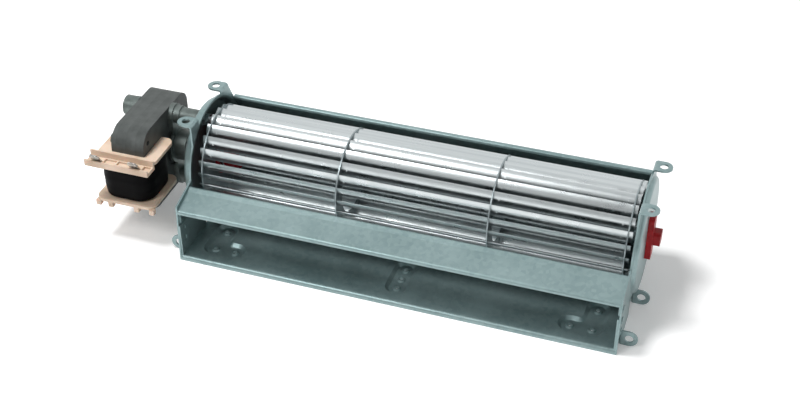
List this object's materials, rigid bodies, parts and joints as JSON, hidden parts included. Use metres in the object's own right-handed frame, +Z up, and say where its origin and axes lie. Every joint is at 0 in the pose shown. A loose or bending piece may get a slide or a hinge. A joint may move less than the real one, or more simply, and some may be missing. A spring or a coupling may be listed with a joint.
{
  "type": "cross flow fan",
  "caption": "Cross flow blower: long impeller of curved blades in a sheet scroll housing, driven by a shaded-pole motor at one end.",
  "frame": {"origin": "on the underside of the flat floor, at the middle of the housing's length and of the floor's depth", "axes": "+X along the impeller axis from the motor to the bearing end, +Y to the back of the scroll (the outlet faces -Y), +Z up"},
  "size_m": [0.331, 0.0953, 0.0764],
  "materials": {
    "galvanised_sheet": "zinc-coated sheet",
    "blade_aluminium": "rolled bright",
    "disc_steel": "zinc-coated",
    "red_silicone": "moulded",
    "bright_steel": "zinc-plated",
    "sintered_bronze": "sintered, oiled",
    "core_grey": "grey varnish",
    "rotor_steel": "turned",
    "bobbin_beige": "moulded",
    "winding_tape": "wound tape",
    "tinned_metal": "tinned",
    "copper": "bare copper",
    "zinc_casting": "as cast"
  },
  "bodies": {
    "housing": {"scroll_housing": "galvanised_sheet", "tongue_plate": "galvanised_sheet", "motor_end_plate": "galvanised_sheet", "bearing_end_plate": "galvanised_sheet", "bearing_support": "red_silicone", "bearing_bush": "sintered_bronze", "stator_core": "core_grey", "coil_core": "core_grey", "bobbin": "bobbin_beige", "winding": "winding_tape", "spade_terminal_left": "tinned_metal", "spade_terminal_right": "tinned_metal", "shading_ring_upper": "copper", "shading_ring_lower": "copper", "front_bracket": "zinc_casting", "rear_bracket": "zinc_casting", "front_bearing": "sintered_bronze", "rear_bearing": "sintered_bronze", "front_retainer": "bright_steel", "rear_retainer": "bright_steel", "motor_screws": "bright_steel", "lock_washers": "bright_steel", "motor_nuts": "bright_steel"},
    "impeller": {"blade_01": "blade_aluminium", "blade_02": "blade_aluminium", "blade_03": "blade_aluminium", "blade_04": "blade_aluminium", "blade_05": "blade_aluminium", "blade_06": "blade_aluminium", "blade_07": "blade_aluminium", "blade_08": "blade_aluminium", "blade_09": "blade_aluminium", "blade_10": "blade_aluminium", "blade_11": "blade_aluminium", "blade_12": "blade_aluminium", "blade_13": "blade_aluminium", "blade_14": "blade_aluminium", "blade_15": "blade_aluminium", "blade_16": "blade_aluminium", "blade_17": "blade_aluminium", "blade_18": "blade_aluminium", "blade_19": "blade_aluminium", "blade_20": "blade_aluminium", "blade_21": "blade_aluminium", "blade_22": "blade_aluminium", "blade_23": "blade_aluminium", "blade_24": "blade_aluminium", "motor_side_disc": "disc_steel", "middle_disc_1": "disc_steel", "middle_disc_2": "disc_steel", "bearing_side_disc": "disc_steel", "rubber_hub": "red_silicone", "hub_clip": "bright_steel", "hub_insert": "bright_steel", "motor_shaft": "bright_steel", "rotor": "rotor_steel", "stub_shaft": "bright_steel"}
  },
  "joints": [
    {"name": "impeller_spin", "type": "hinge", "parent": "housing", "child": "impeller", "pos_m": [0, 0.0287, 0.041], "axis": [1, 0, 0], "continuous": true}
  ]
}
